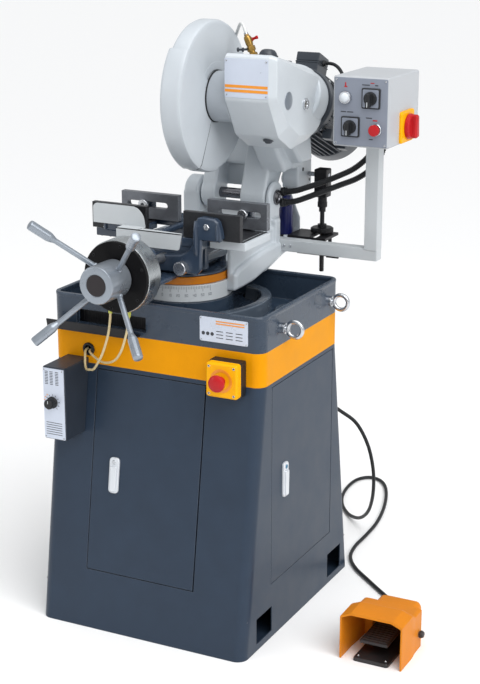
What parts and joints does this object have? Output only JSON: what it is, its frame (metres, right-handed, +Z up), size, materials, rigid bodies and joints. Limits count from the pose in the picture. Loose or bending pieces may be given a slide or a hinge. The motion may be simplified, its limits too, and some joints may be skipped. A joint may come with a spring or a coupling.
{
  "type": "cold saw",
  "caption": "Pull-down circular cold saw on a tapered cabinet stand, with a swivelling head, an air-clamped vise with spoked handwheel, an arm-mounted control box and a cabled foot switch.",
  "frame": {"origin": "on the floor, under the middle of the cabinet's base", "axes": "+X to the operator's right, +Y to the back of the machine, +Z up"},
  "size_m": [1, 1.476, 1.505],
  "materials": {
    "cabinet_paint": "satin powder coat, dark blue grey",
    "band_paint": "satin orange-yellow paint",
    "dark_paint": "satin dark grey paint",
    "plated_steel": "zinc plated, dull shine",
    "yellow_plastic": "moulded, yellow cover on a black back",
    "motor_paint": "satin dark grey paint",
    "orange_paint": "gloss orange paint",
    "vise_paint": "hammered dark blue paint on cast iron",
    "steel": "turned steel",
    "white_paint": "satin grey-white paint",
    "galvanised": "galvanised rolled tube",
    "black_paint": "satin black paint",
    "black_rubber": "matt rubber",
    "black_plastic": "moulded, matt",
    "clear_hose": "translucent cream hose",
    "foot_paint": "orange enamel on cast aluminium",
    "red_plastic": "moulded, glossy",
    "jaw_steel": "ground steel, oiled",
    "panel_paint": "satin grey panel",
    "blue_paint": "blue enamel",
    "blade_steel": "ground tool steel",
    "bronze": "bronze and brass"
  },
  "bodies": {
    "base": {"cabinet": "cabinet_paint", "band": "band_paint", "tray": "cabinet_paint", "chip_chute": "dark_paint", "eyebolts": "plated_steel", "feed_box": "dark_paint", "estop_box": "yellow_plastic", "coolant_tank": "dark_paint", "coolant_pump": "motor_paint", "vise_ring": "orange_paint", "vise_body": "vise_paint", "guide_bars": "steel", "chip_deflector": "white_paint", "clamp_barrel": "galvanised", "clamp_cover": "black_paint", "glands": "black_plastic", "hose_a": "clear_hose", "hose_b": "clear_hose", "foot_base": "black_paint", "foot_hood": "foot_paint", "foot_cable": "black_rubber"},
    "front_door": {"front_door": "cabinet_paint"},
    "front_latch": {"front_latch": "plated_steel"},
    "side_door": {"side_door": "cabinet_paint"},
    "side_latch": {"side_latch": "plated_steel"},
    "estop_button": {"estop_button": "red_plastic"},
    "feed_knob": {"feed_knob": "black_plastic"},
    "fixed_jaw_left": {"fixed_jaw_left": "jaw_steel"},
    "fixed_jaw_right": {"fixed_jaw_right": "jaw_steel"},
    "carriage": {"jaw_carriage": "vise_paint", "movable_jaws": "jaw_steel"},
    "handwheel": {"handwheel": "steel", "clamp_screw": "steel"},
    "foot_pedal": {"foot_pedal": "black_paint"},
    "turntable": {"turntable": "white_paint", "pivot_shaft": "steel", "control_arm": "white_paint", "control_box": "white_paint", "control_panel": "panel_paint", "conduits": "black_rubber", "stop_bracket": "black_paint"},
    "selector_upper": {"selector_upper": "black_plastic"},
    "selector_lower": {"selector_lower": "black_plastic"},
    "stop_button": {"stop_button": "red_plastic"},
    "main_switch": {"main_switch": "red_plastic"},
    "feed_cylinder": {"feed_cylinder": "blue_paint"},
    "feed_rod": {"feed_rod": "steel"},
    "head": {"head_casting": "white_paint", "fixed_guard": "white_paint", "motor": "motor_paint", "coolant_tap": "bronze", "oil_caps": "dark_paint", "motor_lead": "black_rubber"},
    "lower_guard": {"lower_guard": "white_paint"},
    "blade": {"blade": "blade_steel", "spindle": "steel", "worm_wheel": "bronze"},
    "rotor": {"rotor": "steel"},
    "tap_lever": {"tap_lever": "red_plastic"},
    "stop_rod": {"stop_rod": "black_paint"}
  },
  "joints": [
    {"name": "swivel", "type": "hinge", "parent": "base", "child": "turntable", "pos_m": [-0.02, -0.03, 0.857], "axis": [0, 0, 1], "range_deg": [-45, 45]},
    {"name": "head_pivot", "type": "hinge", "parent": "turntable", "child": "head", "pos_m": [0, 0.25, 1.038], "axis": [1, 0, 0], "range_deg": [0, 35.5]},
    {"name": "feed_cylinder_pivot", "type": "hinge", "parent": "turntable", "child": "feed_cylinder", "pos_m": [0.08, 0.355, 0.895], "axis": [1, 0, 0], "range_deg": [0, 9.5]},
    {"name": "feed_rod_slide", "type": "slide", "parent": "feed_cylinder", "child": "feed_rod", "axis": [0, 0, 1], "range_m": [0, 0.0586]},
    {"name": "stop_rod_pivot", "type": "hinge", "parent": "head", "child": "stop_rod", "pos_m": [0.182, 0.365, 1.085], "axis": [1, 0, 0], "range_deg": [-35.6, 0]},
    {"name": "lower_guard_turn", "type": "hinge", "parent": "head", "child": "lower_guard", "pos_m": [-0.02, 0.091, 1.316], "axis": [1, 0, 0], "range_deg": [-71.2, 0]},
    {"name": "blade_spin", "type": "hinge", "parent": "head", "child": "blade", "pos_m": [-0.02, 0.091, 1.316], "axis": [1, 0, 0], "continuous": true},
    {"name": "rotor_spin", "type": "hinge", "parent": "head", "child": "rotor", "pos_m": [0.137, 0.28, 1.295], "axis": [0, 0.9205, -0.3907], "continuous": true},
    {"name": "tap_turn", "type": "hinge", "parent": "head", "child": "tap_lever", "pos_m": [0.06726, 0.15, 1.45152], "axis": [0, 1, 0], "range_deg": [0, 90]},
    {"name": "front_door_hinge", "type": "hinge", "parent": "base", "child": "front_door", "pos_m": [0.135, -0.29834, 0.15222], "axis": [0, 0.15, 0.9887], "range_deg": [0, 85]},
    {"name": "front_latch_turn", "type": "hinge", "parent": "front_door", "child": "front_latch", "pos_m": [-0.098, -0.26767, 0.40448], "axis": [0, 0.9887, -0.15], "range_deg": [0, 90]},
    {"name": "side_door_hinge", "type": "hinge", "parent": "base", "child": "side_door", "pos_m": [0.2855, 0.184, 0.4], "axis": [0, 0, 1], "range_deg": [0, 100]},
    {"name": "side_latch_turn", "type": "hinge", "parent": "side_door", "child": "side_latch", "pos_m": [0.293, -0.098, 0.404], "axis": [1, 0, 0], "range_deg": [0, 90]},
    {"name": "estop_push", "type": "slide", "parent": "base", "child": "estop_button", "axis": [0, 1, 0], "range_m": [0, 0.005]},
    {"name": "feed_knob_turn", "type": "hinge", "parent": "base", "child": "feed_knob", "pos_m": [-0.226, -0.34, 0.6], "axis": [0, 1, 0], "range_deg": [-140, 140]},
    {"name": "jaw_left_slide", "type": "slide", "parent": "base", "child": "fixed_jaw_left", "axis": [-1, 0, 0], "range_m": [0, 0.06]},
    {"name": "jaw_right_slide", "type": "slide", "parent": "base", "child": "fixed_jaw_right", "axis": [1, 0, 0], "range_m": [0, 0.06]},
    {"name": "handwheel_turn", "type": "hinge", "parent": "base", "child": "handwheel", "pos_m": [-0.02, -0.4, 0.947], "axis": [0, 1, 0], "range_deg": [0, 4140]},
    {"name": "carriage_slide", "type": "slide", "parent": "base", "child": "carriage", "axis": [0, 1, 0], "range_m": [0, 0.1151]},
    {"name": "pedal_press", "type": "hinge", "parent": "base", "child": "foot_pedal", "pos_m": [0.57, -0.004, 0.046], "axis": [1, 0, 0], "range_deg": [0, 10], "stiffness_Nm_per_rad": 20},
    {"name": "selector_upper_turn", "type": "hinge", "parent": "turntable", "child": "selector_upper", "pos_m": [0.401, 0.15, 1.326], "axis": [0, 1, 0], "range_deg": [-45, 45]},
    {"name": "selector_lower_turn", "type": "hinge", "parent": "turntable", "child": "selector_lower", "pos_m": [0.348, 0.15, 1.254], "axis": [0, 1, 0], "range_deg": [-45, 45]},
    {"name": "stop_push", "type": "slide", "parent": "turntable", "child": "stop_button", "axis": [0, 1, 0], "range_m": [0, 0.004], "stiffness_N_per_m": 400},
    {"name": "main_switch_turn", "type": "hinge", "parent": "turntable", "child": "main_switch", "pos_m": [0.45, 0.273, 1.246], "axis": [1, 0, 0], "range_deg": [0, 90]}
  ],
  "couplings": [
    {"joint": "feed_cylinder_pivot", "follows": "head_pivot", "ratio": 0.265},
    {"joint": "feed_rod_slide", "follows": "head_pivot", "m_per_rad": 0.0938},
    {"joint": "stop_rod_pivot", "follows": "head_pivot", "ratio": -1},
    {"joint": "lower_guard_turn", "follows": "head_pivot", "ratio": -2},
    {"joint": "rotor_spin", "follows": "blade_spin", "ratio": 35},
    {"joint": "carriage_slide", "follows": "handwheel_turn", "m_per_rad": 0.0015915}
  ]
}
